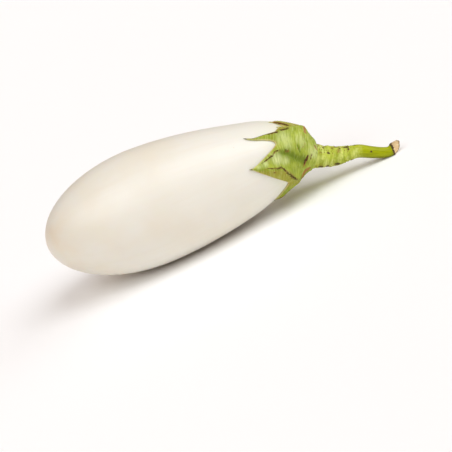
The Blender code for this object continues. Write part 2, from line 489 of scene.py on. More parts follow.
def skinMaterial():
    material, tree, shader = newMaterial("white_skin", 0.42, (0.22, 0.004, (1.0, 0.72, 0.42)))
    feed(shader, {"Coat Weight": 0.12, "Coat Roughness": 0.22})
    look = skinLook
    place = objectPlace(tree)
    along = mark(tree, "along")
    grain = grainMark(tree)
    cloud = grainNoise(place, look["cloudScale"])
    streak = grainNoise(stretched(grain, 9.0, 9.0, 0.9), 1.0, 4.0, 0.55)
    blossomEnd = 1 - between(along, *look["blushShare"])
    patchy = between(grainNoise(place, look["patchScale"]), 0.3, 0.75)
    color = layered(look, paint(look["ivory"]), (
        ("cream", between(cloud, 0.35, 0.68)),
        ("cool", between(along, *look["neckShare"]) * 0.75),
        ("cream", between(streak, 0.45, 0.75) * 0.35),
        ("blush", blossomEnd * patchy * 0.5),
        ("underCap", between(along, *look["collarShare"]) * 0.5),
        ("speck", specks(place, 420.0, (0.06, 0.16), 160.0, (0.66, 0.74)) * 0.6),
        ("corky", (1 - between(along, *look["scarShare"])) * 0.6),
    ))
    pores = grainNoise(place, look["poreScale"], 2.0, 0.6)
    ripple = grainNoise(stretched(grain, 14.0, 14.0, 1.4), 1.0)
    feed(shader, {
        "Base Color": color,
        "Roughness": grainNoise(place, look["polishScale"], 4.0) * 0.14 + 0.31,
        "Normal": bump(pores * 0.12 + ripple, 0.00012, 0.6),
    })
    return material


def fruitTree(inputs):
    tree, given, finishTree = newTree("turned_fruit", inputs)
    length, bendRun = given["length"], given["bendRun"]
    here = placeOf(tree)
    values = {"Size X": 1.0, "Size Y": 1.0, "Vertices X": given["rings"], "Vertices Y": given["sides"] + 1}
    grid = addNode(tree, "GeometryNodeMeshGrid", values)[0]
    alongGrid, roundGrid = apart(here)[:2]
    ring = calc("ROUND", (alongGrid + 0.5) * (given["rings"] - 1))
    angle = (roundGrid + 0.5) * (2 * math.pi)
    values = {"Value": here, "Index": ring}
    outline = worked(given["Geometry"], "SampleIndex", values, data_type="FLOAT_VECTOR")
    at, level, radius = apart(outline)
    # how far round the bend this ring is
    bent = calc("MAXIMUM", at - (length - bendRun), 0.0) / bendRun
    tilt = given["crownTilt"] * bent ** given["bendPower"]
    drop = given["crownDrop"] * bent ** given["dropPower"]
    sine, cosine = calc("SINE", angle), calc("COSINE", angle)
    # shallow dents and lengthwise ribs, always inwards
    roundPlace = joined(at, cosine * 0.03, sine * 0.03)
    dent = grainNoise(roundPlace, given["dentSize"], 1.0) * given["dentDepth"]
    rib = grainNoise(joined(at * 6.0, cosine, sine), given["ribCount"], 2.0) * given["ribDepth"]
    spread = radius - (dent + rib) * between(radius, 0.0, given["poleRadius"])
    # the corky pit where the flower was
    pit = (1 - between(radius, 0.0, given["scarRadius"])) * calc("LESS_THAN", at, length * 0.3)
    pushed = pit * given["scarDepth"] * (grainNoise(roundPlace, 900.0, 3.0) + 0.55)
    lift = sine * spread
    x = at + pushed + lift * calc("SINE", tilt)
    z = lift * calc("COSINE", tilt) - drop
    values = {"Name": "along", "Value": at / length}
    skin = worked(grid, "StoreNamedAttribute", values, data_type="FLOAT")
    values = {"Name": "grain", "Value": joined(cosine, sine, at * 30.0)}
    skin = worked(skin, "StoreNamedAttribute", values, data_type="FLOAT_VECTOR")
    skin = worked(skin, "SetPosition", {"Position": joined(x, cosine * spread * -1.0, z)})
    skin = worked(skin, "MergeByDistance", {"Distance": 1e-6})
    values = {"Translation": given["restPlace"], "Rotation": joined(0.0, given["restTilt"], 0.0)}
    finishTree(keptAbove(worked(skin, "Transform", values)))
    return tree


def makeFruit():
    s = fruitShape
    # rings stand close together at both ends, where the outline turns fastest
    places = s["length"] * (1 - np.cos(np.pi * np.linspace(0, 1, fruitMesh["rings"]))) / 2
    radii = fruitRadius(places)
    radii[[0, -1]] = 0.0
    outline = bpy.data.meshes.new("fruit_outline")
    points = [(at, 0.0, radius) for at, radius in zip(places, radii)]
    outline.from_pydata(points, [(i, i + 1) for i in range(len(points) - 1)], [])
    shared = ("length", "bendRun", "bendPower", "crownTilt", "crownDrop", "dropPower", "restTilt")
    inputs = {**fruitMesh, **{key: s[key] for key in shared}}
    inputs.update({"restPlace": tuple(lyingPlace), "Material": skinMaterial()})
    mesh = growMesh("white_fruit", outline, fruitTree(inputs), inputs)
    return standFor("fruit", "white_fruit", mesh)


makeFruit()
print("fruit made")


calyxShape = {
    "clearance": 0.0003, "thickness": 0.0017, "leastThickness": 0.0003,
    "edgeThickness": 0.00028,
    "edgeRun": 0.0014,  # over this far in from the edge, it grows to its full thickness
    "capReach": 0.0205, "seatRadius": 0.0066, "seatRise": 0.0022,
    "fillet": 0.0019, "filletRun": 0.0038, "capRows": 54,
    "lobeRows": 50, "innerRows": 14, "sideSteps": 30,
    "tipCrowding": 1.35,
    "spikeReach": 0.0013,  # the dry prickle that each lobe ends in
    "spikeWidth": math.radians(0.7), "hookRun": 0.006,
    "crestPower": 1.4,  # less is a sharper ridge
    "kneeHeight": 0.0008, "kneeReach": 0.0145, "kneeSpread": 0.0042,
    "kneeWidth": 0.0045, "veinHeight": 0.00010, "lumpHeight": 0.00024,
    "lobeLift": 0.0002, "hugDepth": 0.0005, "hugRun": 0.0010,
    "flatAngle": math.radians(98),  # the top lobe is pressed flat
    "flatSpread": math.radians(26), "flatShare": 0.68,
}
# Reaches, spreads, sizes and heights in these tables are in millimetres, over the skin from the
# crown's middle, and angles are in degrees, from the near side over the top.
# Each lobe: its tip's angle and reach, how slim its side is, then the notch's angle and reach, and
# how slim the next lobe's side is
lobes = (
    (13.5, 44, 1.45, 37, 28.7, 2.6),
    (51, 41.1, 1.8, 61.5, 27, 1),
    (72, 24.7, 0.8, 75.5, 22, 1),
    (88.5, 27.2, 1.5, 124, 23.2, 1.8),
    (152, 39.5, 1.6, 180, 27.5, 1.9),
    (206, 41, 1.5, 228, 28, 1.8),
    (248, 37.5, 1.8, 266, 26.5, 1.6),
    (283, 34.5, 2, 316, 23.2, 1.4),
)
# Tips that hook sideways: lobe's angle, degrees that it hooks, and the reach where that starts
hooks = ((51, 6, 36.5), (13.5, 2, 39), (152, -5, 34), (248, 4, 33), (283, -4, 30))
# Ridges run from the tips to the knees: the side that gets painted shade in olive (1, -1 or 0 for none)
# and the spread, then angle, reach and height
ridges = (
    (-1, 1.5, ((14.5, 43.6, 0.2), (8.3, 36.2, 0.9), (3, 30.5, 1.4),
        (-3.5, 27.7, 1.8), (-14, 24.7, 2.1), (-27, 21.2, 2.1), (-38, 17.5, 1.9), (-44, 13.5, 0.8))),
    (0, 1.3, ((15, 43.6, 0.1), (18.3, 36.9, 0.8), (22, 32.5, 1.1), (26, 29, 1),
        (24, 24.7, 0.6), (20, 21.5, 0.2))),
    (1, 1.5, ((51.5, 41.2, 0.2), (52, 34, 1), (53.3, 29.2, 1.4),
        (57.3, 25.7, 1.6), (62.5, 22, 1.5), (74, 17.2, 1.5), (86, 14.2, 1.6), (91, 10.5, 0.4))),
    (0, 0.9, ((17, 27, 0.2), (12.3, 23.6, 0.5), (4, 20.5, 0.6),
        (-5, 17.7, 0.5), (-14, 15, 0.2))),
    (0, 1.6, ((97, 26, 0.1), (100, 23.5, 0.3), (106, 18.5, 0.6),
        (112, 14.5, 1.1), (118, 10, 0.3))),
    (1, 1.6, ((152, 38.8, 0.2), (150, 31, 1.1), (153, 24, 1.4), (158, 17, 1.6),
        (160, 11, 0.4))),
    (-1, 1.6, ((206, 40.2, 0.2), (202, 32, 1.1), (200, 24, 1.4),
        (199, 17, 1.6), (200, 11, 0.4))),
    (1, 1.6, ((248, 36.8, 0.2), (247, 30, 1.1), (245, 23, 1.4),
        (242, 16.5, 1.5), (240, 11, 0.4))),
    (-1, 1.6, ((283, 34, 0.2), (285, 29, 0.9), (285, 23, 1.2), (282, 17, 1.5),
        (280, 11, 0.4))),
)
# Creases between the ridges, which the calyx's colour also darkens with painted shade: spread, then angle,
# reach and depth
folds = (
    (1.6, ((26, 29.8, 0.3), (21.5, 26.8, 0.8), (18.3, 24.2, 1.1), (13, 21.7, 1.3),
        (6.5, 19, 1.2), (3, 16, 0.8), (0, 13, 0.3))),
    (0.5, ((33, 18.2, 0.3), (27, 17.6, 0.6), (21.7, 17, 0.6), (15, 16.6, 0.2))),
    (1.4, ((128, 22.5, 0.3), (133, 18, 0.8), (138, 13, 0.4))),
    (1.6, ((180, 25.5, 0.3), (178, 20, 0.9), (180, 14, 0.4))),
    (1.4, ((228, 25.5, 0.3), (224, 20, 0.8), (222, 14, 0.4))),
    (1.4, ((265, 24.5, 0.3), (262, 19, 0.8), (262, 14, 0.4))),
    (1.4, ((322, 20, 0.3), (318, 16.5, 0.7), (312, 12, 0.4))),
)
# Brown strokes where the ridges dried: how dark, then angle, reach and half width
strokes = (
    (0.68, ((52.7, 38.5, 0.4), (53, 34.2, 0.5), (53.2, 30.7, 0.7), (54, 27.9, 0.6))),
    (0.62, ((57.3, 25.7, 0.6), (58.5, 23.9, 0.6), (62.3, 22.2, 0.5))),
    (0.6, ((17.5, 38.5, 0.2), (18.3, 36.9, 0.3), (20.3, 34.6, 0.4), (22, 32.5, 0.5))),
    (0.52, ((22, 32.5, 0.3), (26, 30.7, 0.5), (26, 28.4, 0.5))),
    (0.5, ((23.6, 25.2, 0.6), (23, 24.2, 0.6))),
    (0.62, ((9.3, 36.6, 0.3), (5.3, 32.7, 0.4), (2.3, 29.2, 0.5), (-3.3, 27.9, 0.5))),
    (0.58, ((-3.3, 27.9, 0.5), (-13.7, 24.8, 0.7), (-24, 22.2, 0.8), (-31, 20.2, 0.6))),
    (0.5, ((0.5, 33.8, 0.4), (-0.5, 32.8, 0.5))),
    (0.72, ((9, 11.6, 0.5), (3, 12.3, 0.7), (-3, 13.1, 0.7), (-9, 13.7, 0.4))),
    (0.58, ((15.5, 9.3, 0.3), (8, 9.6, 0.4), (1, 9.8, 0.3))),
    (0.52, ((47, 7.6, 0.4), (41, 7.1, 0.4))),
    (0.68, ((86.5, 26.4, 0.4), (84.5, 24.3, 0.6), (82, 22.2, 0.8), (78, 20.5, 0.5))),
    (0.5, ((151, 36, 0.4), (150, 31, 0.5), (153, 24, 0.6), (157, 18.5, 0.4))),
    (0.5, ((204, 37, 0.4), (202, 32, 0.6), (200, 24, 0.6), (199, 18, 0.4))),
    (0.48, ((247, 34, 0.4), (247, 30, 0.5), (245, 23, 0.6), (243, 18, 0.4))),
    (0.5, ((284, 32, 0.3), (285, 29, 0.5), (285, 23, 0.6), (282, 18, 0.4))),
    (0.6, ((172, 16, 0.6), (176, 14, 0.6), (178, 12.5, 0.3))),
    (0.6, ((236, 14.5, 0.5), (239, 12.5, 0.6), (238, 11, 0.3))),
)
# Rust and tan patches: strength, then angle, reach and half width
rusts = (
    (0.95, ((-42, 16.5, 1), (-33, 13.5, 1.4), (-31, 9.8, 1.2))),
    (0.7, ((-12, 13.8, 0.9), (-2, 12.8, 1), (8, 11.6, 0.8))),
    (0.72, ((90, 14, 1.2), (80, 13.5, 1.5), (72, 13.2, 1.2))),
    (0.4, ((72, 17.5, 1), (60, 15, 1.2), (48, 14, 1), (36, 13.5, 0.9))),
    (0.6, ((47, 7.8, 0.8), (41, 7, 0.8))),
    (0.7, ((88, 26.2, 0.7), (84, 23.5, 1.2), (80, 20.5, 0.8))),
    (0.4, ((15, 36.5, 0.7), (14.5, 34.5, 0.7))),
    (0.55, ((150, 14.5, 1.2), (162, 13.5, 1.4), (174, 14, 1))),
    (0.55, ((236, 14, 1), (246, 13.5, 1.4), (256, 15, 1))),
)
# Pale places: angle, reach, half size, strength
paleSpots = (
    (41, 24.5, 5.4, 0.8), (44, 16.5, 4.2, 0.7), (17, 30.5, 3.6, 1.25), (15.5, 37, 2.2, 0.9),
    (14.5, 40.5, 1.4, 0.8), (10, 26.2, 2.8, 0.9), (22, 8.5, 4, 0.9), (178, 23.5, 5, 0.9),
    (128, 19, 4, 0.8), (228, 21, 4.5, 0.8), (265, 20, 4, 0.8),
)
calyxLook = {
    "pale": (218, 228, 156), "green": (176, 190, 66),
    # the second colour below is both the fine bands' green and painted shade along the creases
    "mid": (150, 166, 48), "deep": (98, 122, 18),
    # the first colour below is painted shade, laid in olive on the darker side of a ridge
    "oliveShade": (170, 162, 56), "margin": (232, 218, 158),
    "rust": (168, 106, 52), "brown": (76, 50, 24), "darkAt": 0.96,
    "darkRange": 0.32,
    "strokeWidth": {"dark": 1.5, "rust": 1.2},
    "marginWidth": 0.0007, "notchWidth": 0.0006,
}


def marginColumns():
    # (angle, margin's reach, nearness to a notch) for every column round the calyx
    c = calyxShape
    crowding = c["tipCrowding"]
    angles, margins, notches = [], [], []
    for i, (tipAngle, tipReach, slim, notchAngle, notchReach, nextSlim) in enumerate(lobes):
        nextAngle, nextReach = lobes[(i + 1) % len(lobes)][:2]
        if nextAngle < tipAngle:
            nextAngle += 360
        sides = ((tipAngle, tipReach, slim, False), (nextAngle, nextReach, nextSlim, True))
        for lobeAngle, lobeReach, lobeSlim, towardsTip in sides:
            narrow = abs(notchAngle - lobeAngle) < 6
            steps = c["sideSteps"] // 3 if narrow else c["sideSteps"]
            part = np.arange(steps) / steps
            if towardsTip:
                part = 1 - part
            turn = (notchAngle - lobeAngle) * part**crowding
            reach = notchReach + (lobeReach - notchReach) * (1 - part**crowding) ** lobeSlim
            angles.append(lobeAngle + turn)
            margins.append(reach * millimetre + c["spikeReach"] * bell(np.radians(turn), c["spikeWidth"]))
            notches.append(part)
    return np.radians(np.concatenate(angles)), np.concatenate(margins), np.concatenate(notches)


def turnBetween(first, second):
    return (first - second + math.pi) % (2 * math.pi) - math.pi


def nearPlaces(spot, places):
    # how far each spot is from the nearest of the places (angle, reach, size), and its size
    angle, reach, radius = spot
    best = np.full(angle.shape, 1.0)
    size = np.zeros(angle.shape)
    for placeAngle, placeReach, placeSize in places:
        away = np.hypot(turnBetween(angle, placeAngle) * radius, reach - placeReach)
        size = np.where(away < best, placeSize, size)
        best = np.minimum(away, best)
    return best, size


def nearLine(spot, line):
    return nearPlaces(spot, smoothPath(line, 12) * (math.radians(1), millimetre, millimetre))


def calyxMaterial():
    material, tree, shader = newMaterial("calyx_green", 0.18, (0.1, 0.0012, (0.6, 1.0, 0.2)))
    look = calyxLook
    place = objectPlace(tree)
    grain = grainMark(tree)
    cloud = grainNoise(place, 150.0, 4.0, 0.6)
    lit = mark(tree, "pale") + (cloud - 0.5) * 0.8
    # painted shade: one side of each marked ridge is laid in olive
    shadedFlank = between(mark(tree, "shadedFlank") + cloud * 0.5, 0.4, 1.1)
    # fine bands run round the cap from ridge to ridge
    band = grainNoise(stretched(grain, 2.0, 2.0, 0.9), 1.0, 4.0, 0.62, 0.5)
    fine = grainNoise(stretched(grain, 3.2, 3.2, 2.1), 1.0, 3.0, 0.6, 0.3)
    blotch = grainNoise(place, 420.0, 4.0, 0.65)
    worn = mark(tree, "dark") + grainNoise(place, 800.0, 4.0, 0.7) * 1.3
    dark = between(worn, look["darkAt"], look["darkAt"] + look["darkRange"])
    color = layered(look, paint(look["green"]), (
        ("mid", between(cloud, 0.36, 0.64)),
        ("pale", between(lit, 0.15, 1.2)),
        # painted shade on the ridges' darker sides
        ("oliveShade", shadedFlank * 0.85),
        ("mid", between(band, 0.50, 0.66) * 0.5),
        ("deep", between(fine, 0.50, 0.68) * 0.4),
        ("pale", between(fine, 0.50, 0.34) * 0.3),
        # painted shade: deep green laid along the creases
        ("deep", mark(tree, "deep") * between(cloud, 0.15, 0.55) * 0.75),
        ("margin", between(mark(tree, "margin"), 0.35, 0.9) * 0.8),
        ("rust", mark(tree, "notch") * between(blotch, 0.40, 0.60) * 0.9),
        ("rust", between(mark(tree, "rust") + blotch * 0.9, 0.78, 1.15) * 0.85),
        ("brown", dark * 0.92),
        ("rust", specks(place, 520.0, (0.10, 0.30), 210.0, (0.58, 0.68)) * 0.75),
    ))
    feed(shader, {
        "Base Color": color,
        "Roughness": cloud * 0.2 + dark * 0.2 + 0.46,
        "Normal": bump(band + fine * 0.7 + blotch * 0.5 + dark * 0.4, 0.0006, 0.85),
    })
    return material


def stamp(marks, key, values):
    marks[key] = np.maximum(marks.get(key, 0.0), values)


def calyxRelief(spot, toEdge, seatReach, marks):
    # how thick the calyx is at each place, with its ridges and creases marked
    c = calyxShape
    angle, reach, radius = spot
    grown = 1 - np.exp(-toEdge / c["edgeRun"])
    thickness = c["edgeThickness"] + (c["thickness"] - c["edgeThickness"]) * grown
    for shadedFlank, spread, line in ridges:
        away, height = nearLine(spot, line)
        crest = bell(away, spread * millimetre, c["crestPower"])
        stamp(marks, "ridge", crest)
        thickness += height * crest * grown
        if shadedFlank:
            knee = bell(reach - c["kneeReach"], c["kneeSpread"]) * bell(away, c["kneeWidth"])
            thickness += c["kneeHeight"] * knee
            # the side past the ridge is marked for painted shade
            lineAngles, lineReaches = np.array(sorted(line, key=lambda point: point[1])).T[:2]
            middle = np.interp(reach, lineReaches * millimetre, np.radians(lineAngles))
            past = np.degrees(turnBetween(angle, middle) * shadedFlank)
            side = smoothStep(past / 5) * smoothStep((42 - past) / 14)
            stamp(marks, "shadedFlank", side * smoothStep((reach - 0.012) / 0.004))
    for spread, line in folds:
        away, depth = nearLine(spot, line)
        thickness -= depth * bell(away, spread * millimetre)
        # marks the crease for painted shade in the calyx's colour
        stamp(marks, "deep", bell(away, spread * millimetre * 1.3) * smoothStep(depth / 0.0005))
    veins = c["veinHeight"] * ringNoise(angle, 3.2, reach * 700, 3)
    lumps = c["lumpHeight"] * ringNoise(angle, 4.5, reach * 180, 5)
    thickness += (veins + lumps) * grown * smoothStep((reach - seatReach) / 0.003)
    flat = bell(turnBetween(angle, c["flatAngle"]), c["flatSpread"]) * smoothStep((reach - 0.011) / 0.012)
    thickness *= 1 - c["flatShare"] * flat
    thickness += c["fillet"] * np.exp(-(reach - seatReach) / c["filletRun"])
    return np.maximum(thickness, c["leastThickness"])


def calyxStains(spot, toEdge, notches, marks):
    # where the skin is dried, rusty or pale
    angle, reach, radius = spot
    look = calyxLook
    for key, lines in (("dark", strokes), ("rust", rusts)):
        for strength, line in lines:
            away, width = nearLine(spot, line)
            spread = width * look["strokeWidth"][key]
            stamp(marks, key, strength * bell(away, spread))
            if key == "dark":
                stamp(marks, "rust", 0.5 * bell(away, spread * 1.8))
    for spotAngle, spotReach, halfSize, strength in paleSpots:
        away = nearPlaces(spot, [(math.radians(spotAngle), spotReach * millimetre, 0)])[0]
        stamp(marks, "pale", strength * bell(away, halfSize * millimetre))
    for tipAngle, tipReach, *rest in lobes:
        near = np.abs(turnBetween(angle, math.radians(tipAngle))) < math.radians(12)
        tip = smoothStep((reach - tipReach * millimetre + 0.0004) / 0.0006)
        stamp(marks, "dark", 0.8 * tip * near * (tipReach > 30))
    marks["margin"] = np.exp(-toEdge / look["marginWidth"])
    marks["notch"] = np.exp(-toEdge / look["notchWidth"]) * np.broadcast_to(notches, reach.shape) ** 3
    marks["grain"] = np.stack([np.cos(angle), np.sin(angle), reach * 900], -1)


def makeCalyx():
    c = calyxShape
    places, radii, distances = crownDistances()
    widening = slice(0, int(np.argmax(radii)))
    seatReach = float(np.interp(c["seatRadius"], radii[widening], distances[widening]))
    angles, margins, notches = marginColumns()
    # rows from the seat to the cap's edge, then on to the lobes' edge
    lobeParts = 1 + np.linspace(0, 1, c["lobeRows"] + 1) ** 0.85
    parts = np.concatenate([np.arange(c["capRows"]) / c["capRows"], lobeParts])
    innerParts = np.concatenate([[-0.5], np.linspace(0, 2, c["innerRows"])])

    def spreadOut(rows):
        # each place's angle, reach and radius, and where it is along the axis
        stops = [np.interp(rows, (-1, 0, 1, 2), (0.0, seatReach, c["capReach"], edge)) for edge in margins]
        reach = np.array(stops).T
        angle = np.broadcast_to(angles, reach.shape).copy()
        for hookAngle, turn, start in hooks:
            here = np.abs(turnBetween(angle, math.radians(hookAngle))) < math.radians(20)
            hooked = np.clip((reach - start * millimetre) / c["hookRun"], 0, 1.5) ** 2
            angle += np.where(here, math.radians(turn) * hooked, 0.0)
        at = np.interp(reach, distances, places)
        return (angle, reach, fruitRadius(at)), at

    def gap(rows, spot):
        # the lobes come a little away from the skin towards their tips, but hug it at the margin
        lifted = c["lobeLift"] * (np.clip(spot[1] - c["capReach"] - 0.004, 0, None) / 0.018) ** 2
        toEdge = nearPlaces(spot, zip(edgeAngles, margins, margins))[0]
        toEdge = np.where(np.asarray(rows)[:, None] >= 2, 0.0, toEdge)
        return toEdge, c["clearance"] + lifted - c["hugDepth"] * np.exp(-toEdge / c["hugRun"])

    edgeAngles = spreadOut([2.0])[0][0][0]
    spot, at = spreadOut(parts)
    toEdge, under = gap(parts, spot)
    marks = {}
    outer = lieDown(skinPoint(at, spot[0], under + calyxRelief(spot, toEdge, seatReach, marks)))
    calyxStains(spot, toEdge, notches, marks)
    innerSpot, innerAt = spreadOut(innerParts)
    inner = lieDown(skinPoint(innerAt, innerSpot[0], gap(innerParts, innerSpot)[1]))
    # the collar that the stalk grows from
    crown, forward, up = ringFrame(np.array(fruitShape["length"]))
    seat = crown + forward * (c["seatRise"] + 0.0004)
    around = nearSide * np.cos(angles)[:, None] + up * np.sin(angles)[:, None]
    collar = lieDown(seat + around * c["seatRadius"] * 0.97)
    rings = np.concatenate([inner, outer[::-1], collar[None]])
    for key, values in marks.items():
        below = np.repeat(values[-1:], len(inner), axis=0) if key == "grain" else np.zeros(inner.shape[:2])
        marks[key] = np.concatenate([below, values[::-1], values[:1]])
    firstTip = lieDown(crown + forward * c["clearance"])
    mesh = ringMesh(rings, firstTip, lieDown(seat), marks)
    return standFor("calyx", "calyx_cap", mesh, calyxMaterial())


calyx = makeCalyx()
print("calyx made:", len(calyx.data.polygons), "faces")


stalkShape = {
    "sides": 120, "steps": 26,
    "seatSink": 0.0001,  # how deep the stalk stands in the calyx's collar
    "wrinkleHeight": 0.00034, "foldHeight": 0.00026,
    "ribHeight": 0.00014, "spotHeight": 0.00022,
    "collarHeight": 0.00018,
    "collarFlare": 0.0002,  # the dry bark stands up at the torn end
    "tearDepth": 0.0003,
}
# Stations from the seat's middle, in millimetres: along, up, across (near side negative), half
# height, half width
stations = (
    (0, 0, 0, 6.9, 6.9), (4, -2.1, 0, 6.3, 6.3), (10.5, -4.6, 0, 5.5, 5.5), (16, -5.7, 0, 4.7, 4.7),
    (20.5, -6.2, -0.3, 3.9, 3.9), (24.5, -7.2, -0.6, 3.7, 3.7), (30, -10, -1, 3.4, 3.3),
    (35, -12.3, -1.2, 3.1, 3), (38.8, -13.4, -1.3, 2.9, 2.8), (40.4, -13.2, -1.3, 2.9, 2.7),
    (41.8, -12.7, -1.3, 3.1, 2.6),
)
# Spots on the bark: share of the length, angle round (0 near side, 90 top), half length and half
# width in millimetres
barkSpots = (
    (0.09, 64, 1.2, 1), (0.155, 36, 1.4, 1), (0.08, -42, 1.8, 1.2), (0.155, -42, 1.4, 1.4),
    (0.27, -38, 1.8, 1.6), (0.27, 82, 1.6, 0.9), (0.33, 66, 0.6, 1.4), (0.42, 74, 2.6, 1.2),
    (0.44, 52, 0.8, 1), (0.52, 84, 1.4, 0.6), (0.7, 22, 1, 0.7), (0.46, -60, 2, 0.7), (0.2, 170, 1.4, 1),
    (0.3, 200, 1.2, 0.9), (0.12, 240, 1.4, 1), (0.42, 150, 1.2, 0.8), (0.24, 128, 1.3, 0.7),
)
stalkLook = {
    "pale": (214, 222, 122), "green": (188, 200, 72),
    # the first colour below is the rings' green and also painted shade in the wrinkles' valleys and
    # underneath
    "valley": (148, 162, 38), "bright": (168, 177, 0),
    # the second colour below is painted shade, for the smooth part's underside
    "smooth": (142, 150, 0), "dark": (112, 114, 0),
    "brown": (72, 44, 34), "rust": (158, 112, 44),
    "cream": (255, 238, 196), "wood": (244, 208, 152),
    "rim": (150, 128, 92),
    "smoothShare": (0.44, 0.64),  # the bark turns smooth between these shares of its length
}


def stalkSeat():
    crown, forward, up = ringFrame(np.array(fruitShape["length"]))
    return crown + forward * (calyxShape["seatRise"] - stalkShape["seatSink"]), forward


def tubeFrames(rows):
    # the middle of every ring, and its lift, side and forward directions
    seat, forward = stalkSeat()
    middles = seat + rows[:, [0, 2, 1]]
    ahead = np.gradient(middles, axis=0)
    ahead[0] = forward
    ahead /= np.linalg.norm(ahead, axis=1, keepdims=True)
    side = np.cross(np.array([0.0, 0.0, 1.0]), ahead)
    side /= np.linalg.norm(side, axis=1, keepdims=True)
    return middles, np.cross(ahead, side), side, ahead


def tubeRings(path, angle, growth, slide):
    # a ring round each station, as tall and wide as it says, grown a little and slid forwards
    middles, lift, side, ahead = tubeFrames(path)
    tall = (path[:, 3:4] + growth) * np.sin(angle)
    wide = (path[:, 4:5] + growth) * np.cos(angle)
    rings = middles[:, None] + lift[:, None] * tall[..., None] + side[:, None] * wide[..., None]
    return rings + ahead[:, None] * slide[..., None]


def ringAngles(path, sides):
    return np.broadcast_to(2 * np.pi * np.arange(sides) / sides, (len(path), sides))


def barkMaterial():
    material, tree, shader = newMaterial("stalk_bark", 0.18, (0.08, 0.0012, (0.6, 1.0, 0.1)))
    look = stalkLook
    place = objectPlace(tree)
    along = mark(tree, "along")
    grain = grainMark(tree)
    cloud = grainNoise(place, 190.0, 4.0, 0.6)
    ring = grainNoise(stretched(grain, 1.6, 1.6, 0.9), 1.0, 4.0, 0.6, 0.4)
    line = grainNoise(stretched(grain, 4.0, 4.0, 0.16), 1.0, 4.0, 0.6)
    blotch = grainNoise(place, 420.0, 4.0, 0.65)
    broken = grainNoise(place, 760.0, 4.0, 0.7)
    # the stalk's underside, which gets painted shade
    under = mark(tree, "under")
    rough = layered(look, paint(look["pale"]), (
        ("green", between(cloud, 0.36, 0.64)),
        ("valley", between(ring, 0.48, 0.66) * 0.5),
        # painted shade: darker green in the wrinkles' valleys
        ("valley", mark(tree, "valley") * between(cloud, 0.2, 0.6) * 0.8),
        # painted shade: darker green on the underside
        ("valley", under * 0.35),
    ))
    smooth = layered(look, paint(look["bright"]), (
        ("smooth", between(line, 0.38, 0.62)),
        # painted shade: the smooth part darker on its underside
        ("dark", under * 0.8),
    ))
    color = tint(rough, smooth, between(along + (cloud - 0.5) * 0.25, *look["smoothShare"]))
    color = layered(look, color, (
        ("rust", between(blotch, 0.52, 0.66) * mark(tree, "rough") * 0.7),
        ("brown", between(mark(tree, "spot") + broken * 0.8, 0.74, 0.96) * 0.92),
    ))
    feed(shader, {
        "Base Color": color,
        "Roughness": cloud * 0.1 - between(along, *look["smoothShare"]) * 0.18 + 0.54,
        "Normal": bump(ring * 0.9 + line * 0.3 + broken * 0.35, 0.0003, 0.7),
    })
    return material


def makeBark():
    t = stalkShape
    path = smoothPath(stations, t["steps"]) * millimetre
    middles, lift, side, ahead = tubeFrames(path)
    angle = ringAngles(path, t["sides"])
    lengths = np.concatenate([[0.0], np.cumsum(np.linalg.norm(np.diff(middles, axis=0), axis=1))])
    runs = np.broadcast_to(lengths[:, None], angle.shape)
    shares = runs / lengths[-1]
    # the first part is wrinkled across, and the rest is smooth
    wrinkly = smoothStep((0.56 - shares) / 0.16) * smoothStep(shares / 0.04)
    crest = 1 - 2 * np.abs(ringNoise(angle, 0.8, runs * 900, 11))
    coarse = ringNoise(angle, 0.7, runs * 380, 12)
    ribs = ringNoise(angle, 2.6, runs * 60, 13)
    growth = (t["wrinkleHeight"] * crest * 0.5 + t["foldHeight"] * coarse * 1.4) * wrinkly
    growth += t["ribHeight"] * ribs * (0.5 + wrinkly) - 0.0002 * wrinkly - 0.0001
    spotMark = np.zeros(angle.shape)
    for spotShare, spotAngle, halfLength, halfWidth in barkSpots:
        # rings start at the far side, half a turn from the near side
        across = turnBetween(math.pi - angle, math.radians(spotAngle)) * path[:, 3:4]
        forwards = (shares - spotShare) * lengths[-1]
        away = np.hypot(forwards / halfLength, across / halfWidth) / millimetre
        spotMark = np.maximum(spotMark, 0.7 * bell(away, 1.0))
    growth += t["spotHeight"] * spotMark
    # the bark's end is ragged, and stands up most on top
    collar = smoothStep((shares - 0.962) / 0.022)
    ragged = ringNoise(angle, 6.5, np.zeros(angle.shape), 14)
    spotMark = np.maximum(spotMark, collar * (0.62 + 0.2 * ragged))
    topSide = smoothStep((np.sin(angle) - 0.55) / 0.45)
    growth += collar * (t["collarHeight"] + t["collarFlare"] * topSide**2)
    growth += t["tearDepth"] * ragged * smoothStep((shares - 0.97) / 0.03)
    leaning = ragged * 0.0008 + 0.0012 * np.sin(angle) - 0.0002
    rings = tubeRings(path, angle, growth, np.clip((shares - 0.90) / 0.10, 0, 1) * leaning)
    # the edge turns in over the wood and runs back under the bark
    inwards = middles[-1] - rings[-1]
    lip = rings[-1] + inwards * 0.16 + ahead[-1] * 0.00008
    back = rings[-1] + inwards * 0.30 - ahead[-1] * 0.0012
    rings = lieDown(np.concatenate([rings, lip[None], back[None]]))
    marks = {
        "along": shares,
        "grain": np.stack([np.cos(angle), np.sin(angle), runs * 900], -1),
        "spot": spotMark,
        # the wrinkles' valleys, marked for painted shade
        "valley": smoothStep((0.35 - 0.5 * crest - 0.9 * coarse) / 0.5) * wrinkly,
        "rough": smoothStep((0.62 - shares) / 0.2) * smoothStep((np.abs(np.sin(angle)) - 0.1) / 0.9),
        # the underside, marked for painted shade
        "under": smoothStep((-np.sin(angle) - 0.1) / 0.9),
    }
    marks = {key: np.concatenate([values, values[-1:], values[-1:]]) for key, values in marks.items()}
    ends = lieDown(np.stack([middles[0], middles[-1] - ahead[-1] * 0.0014]))
    mesh = ringMesh(rings, *ends, marks)
    return standFor("stalk", "stalk_bark", mesh, barkMaterial())


